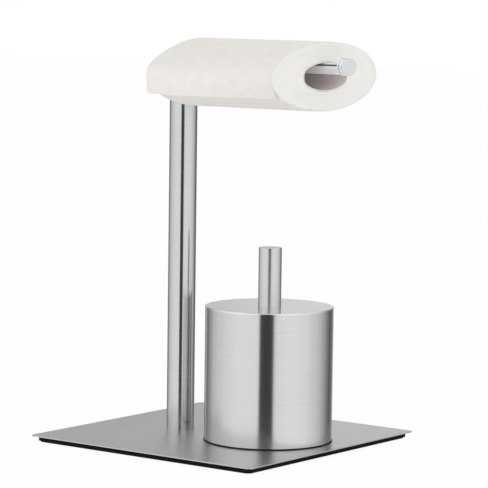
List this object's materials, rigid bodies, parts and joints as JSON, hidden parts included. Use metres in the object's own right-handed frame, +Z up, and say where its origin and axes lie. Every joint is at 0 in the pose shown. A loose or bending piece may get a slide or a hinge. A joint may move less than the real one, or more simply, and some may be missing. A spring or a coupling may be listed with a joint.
{
  "type": "toilet roll and brush stand",
  "caption": "Free-standing square-based stand with a round post, a side arm that carries a paper roll, and a round lidded canister that holds a toilet brush.",
  "frame": {"origin": "centre of the square base's underside, on the floor", "axes": "+X runs from the post along the arm, +Z is up, and +Y follows by the right-hand rule"},
  "size_m": [0.268, 0.26, 0.3806],
  "materials": {
    "plate_steel": "satin",
    "tube_steel": "satin",
    "shell_steel": "satin",
    "lid_steel": "satin",
    "grip_steel": "satin",
    "arm_chrome": "polished",
    "weight_paint": "matte",
    "mat_rubber": "matte",
    "plug_metal": "satin",
    "screw_steel": "satin",
    "roll_paper": "matte",
    "core_card": "matte",
    "black_plastic": "satin",
    "cup_plastic": "matte",
    "stem_plastic": "satin",
    "hub_plastic": "satin",
    "bristle_nylon": "satin"
  },
  "bodies": {
    "stand": {"base_plate": "plate_steel", "base_weight": "weight_paint", "anti_slip_mat": "mat_rubber", "post_tube": "tube_steel", "post_foot_plug": "plug_metal", "post_bolt": "screw_steel", "post_head_plug": "plug_metal", "arm_grub_screw": "screw_steel", "post_cap": "tube_steel", "arm_bar": "arm_chrome", "arm_end_stop": "arm_chrome"},
    "roll": {"roll_core": "core_card", "paper_roll": "roll_paper"},
    "canister": {"canister_shell": "shell_steel", "canister_base": "black_plastic", "liner_cup": "cup_plastic"},
    "brush": {"lid_disc": "lid_steel", "lid_seat": "black_plastic", "grip_tube": "grip_steel", "grip_end_cap": "grip_steel", "grip_plug": "plug_metal", "brush_stem": "stem_plastic", "brush_hub": "hub_plastic", "bristles": "bristle_nylon"}
  },
  "joints": [
    {"name": "roll_spin", "type": "hinge", "parent": "stand", "child": "roll", "pos_m": [0.041, 0, 0.3481], "axis": [1, 0, 0], "continuous": true},
    {"name": "canister_lift", "type": "slide", "parent": "stand", "child": "canister", "axis": [0, 0, 1], "range_m": [0, 0.012]},
    {"name": "brush_lift", "type": "slide", "parent": "canister", "child": "brush", "axis": [0, 0, 1], "range_m": [0, 0.058]}
  ]
}
